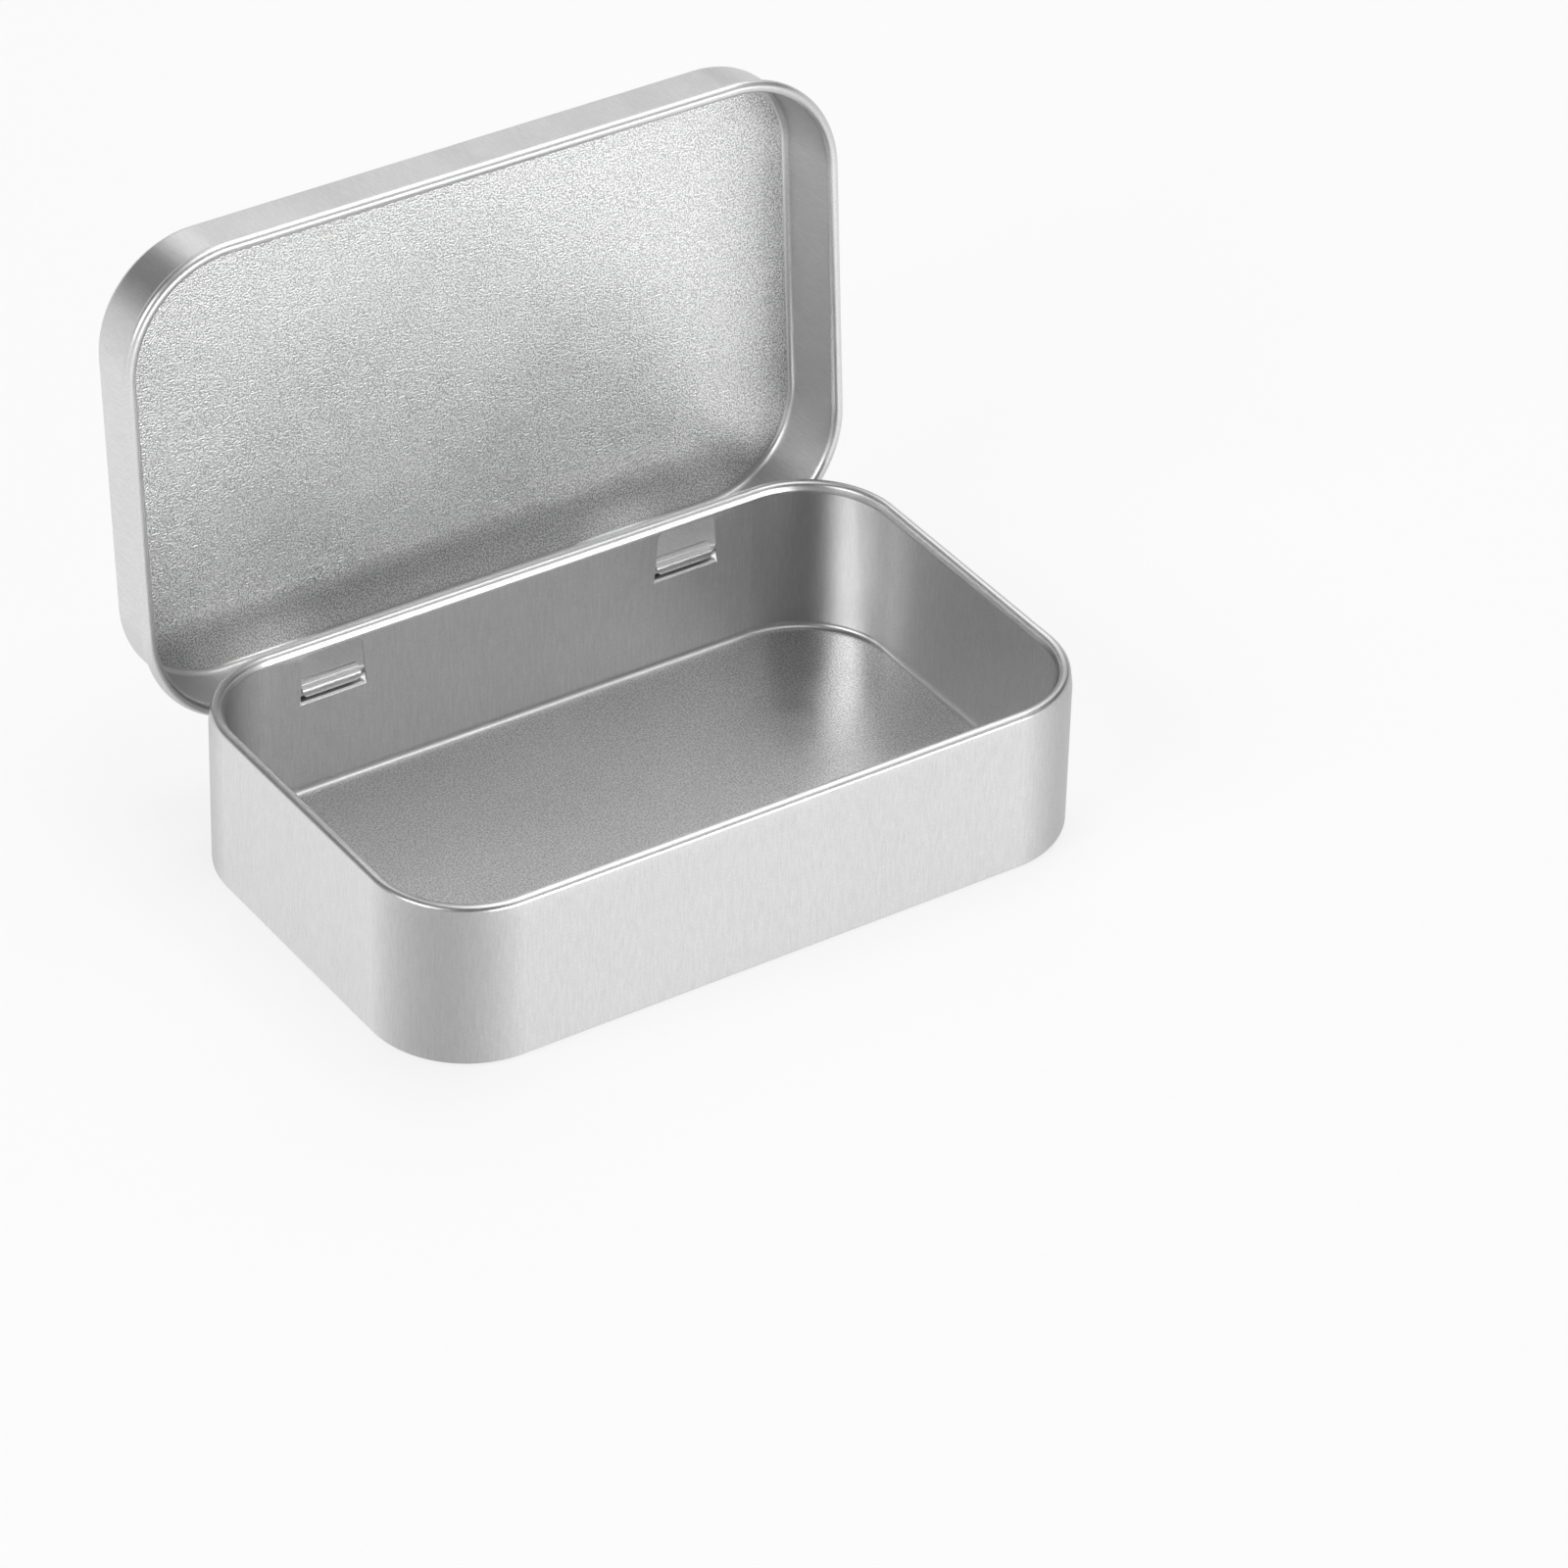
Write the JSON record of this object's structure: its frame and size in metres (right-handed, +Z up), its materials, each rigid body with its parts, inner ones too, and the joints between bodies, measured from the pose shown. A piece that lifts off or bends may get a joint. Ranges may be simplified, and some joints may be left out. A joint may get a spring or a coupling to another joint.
{
  "type": "hinged tin box",
  "caption": "Shallow rectangular tinplate box with rounded corners, an open hinged lid with a rolled edge, and lanced hinge tongues curled out of the rear wall.",
  "frame": {"origin": "middle of the base's flat underside", "axes": "+X along the length to the right, +Y to the hinged rear side, +Z up out of the open base"},
  "size_m": [0.095, 0.071, 0.0727],
  "materials": {
    "tinplate": "matt, finely grained tinplate"
  },
  "bodies": {
    "base": {"base_tray": "tinplate"},
    "lid": {"lid": "tinplate"}
  },
  "joints": [
    {"name": "lid_hinge", "type": "hinge", "parent": "base", "child": "lid", "pos_m": [0, 0.0294, 0.01338], "axis": [1, 0, 0], "range_deg": [0, 94.7]}
  ]
}
